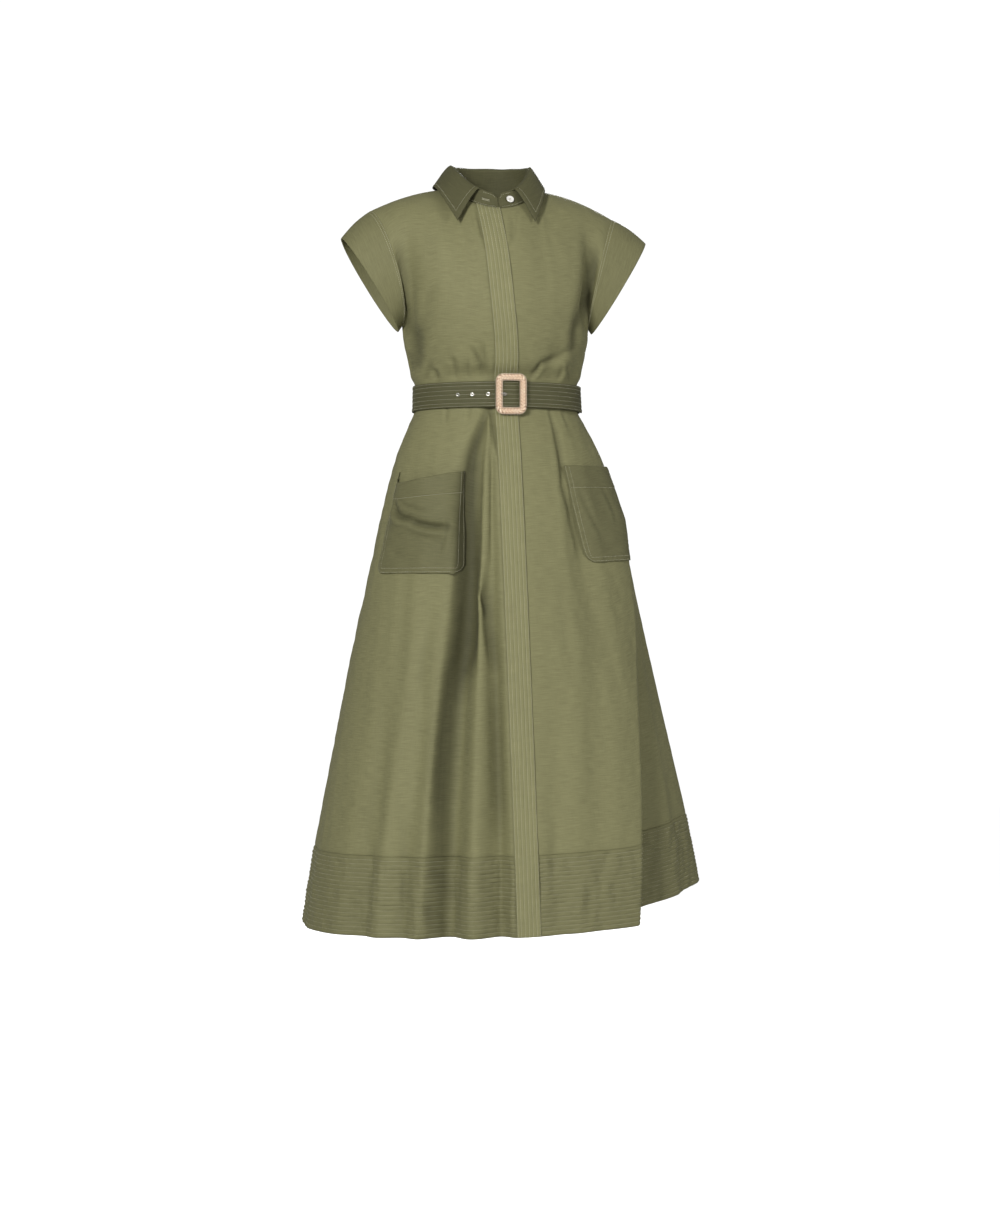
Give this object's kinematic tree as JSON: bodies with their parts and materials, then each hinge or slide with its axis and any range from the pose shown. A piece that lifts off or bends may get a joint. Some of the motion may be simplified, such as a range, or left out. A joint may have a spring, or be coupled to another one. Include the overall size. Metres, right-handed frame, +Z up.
{
  "type": "shirt dress",
  "caption": "Belted midi shirt dress, filled out as it is worn, with a shirt collar, quilted placket, short cuffed sleeves, patch pockets and a quilted hem band.",
  "frame": {"origin": "middle of the neck at the height where the shoulder seams begin, where the wearer's shoulders hold the dress", "axes": "+Z up, the front faces -Y, +X is the wearer's left"},
  "size_m": [0.5986, 0.5047, 1.1397],
  "materials": {
    "cloth": "olive cotton with a soft sheen",
    "straw": "plaited raffia",
    "steel": "bright metal",
    "shell": "white pearl button"
  },
  "bodies": {
    "root": {"bodice_front_right": "cloth", "bodice_front_left": "cloth", "bodice_back": "cloth", "sleeve_right": "cloth", "sleeve_left": "cloth", "collar_stand": "cloth", "collar": "cloth", "placket": "cloth", "skirt_front_right": "cloth", "skirt_front_left": "cloth", "skirt_back": "cloth", "hem_band_front_right": "cloth", "hem_band_front_left": "cloth", "hem_band_back": "cloth", "pocket_right": "cloth", "pocket_left": "cloth", "belt": "cloth", "eyelet_1": "steel", "eyelet_2": "steel", "eyelet_3": "steel", "eyelet_4": "steel", "buckle": "straw", "buckle_prong": "steel", "button": "shell"}
  },
  "joints": []
}
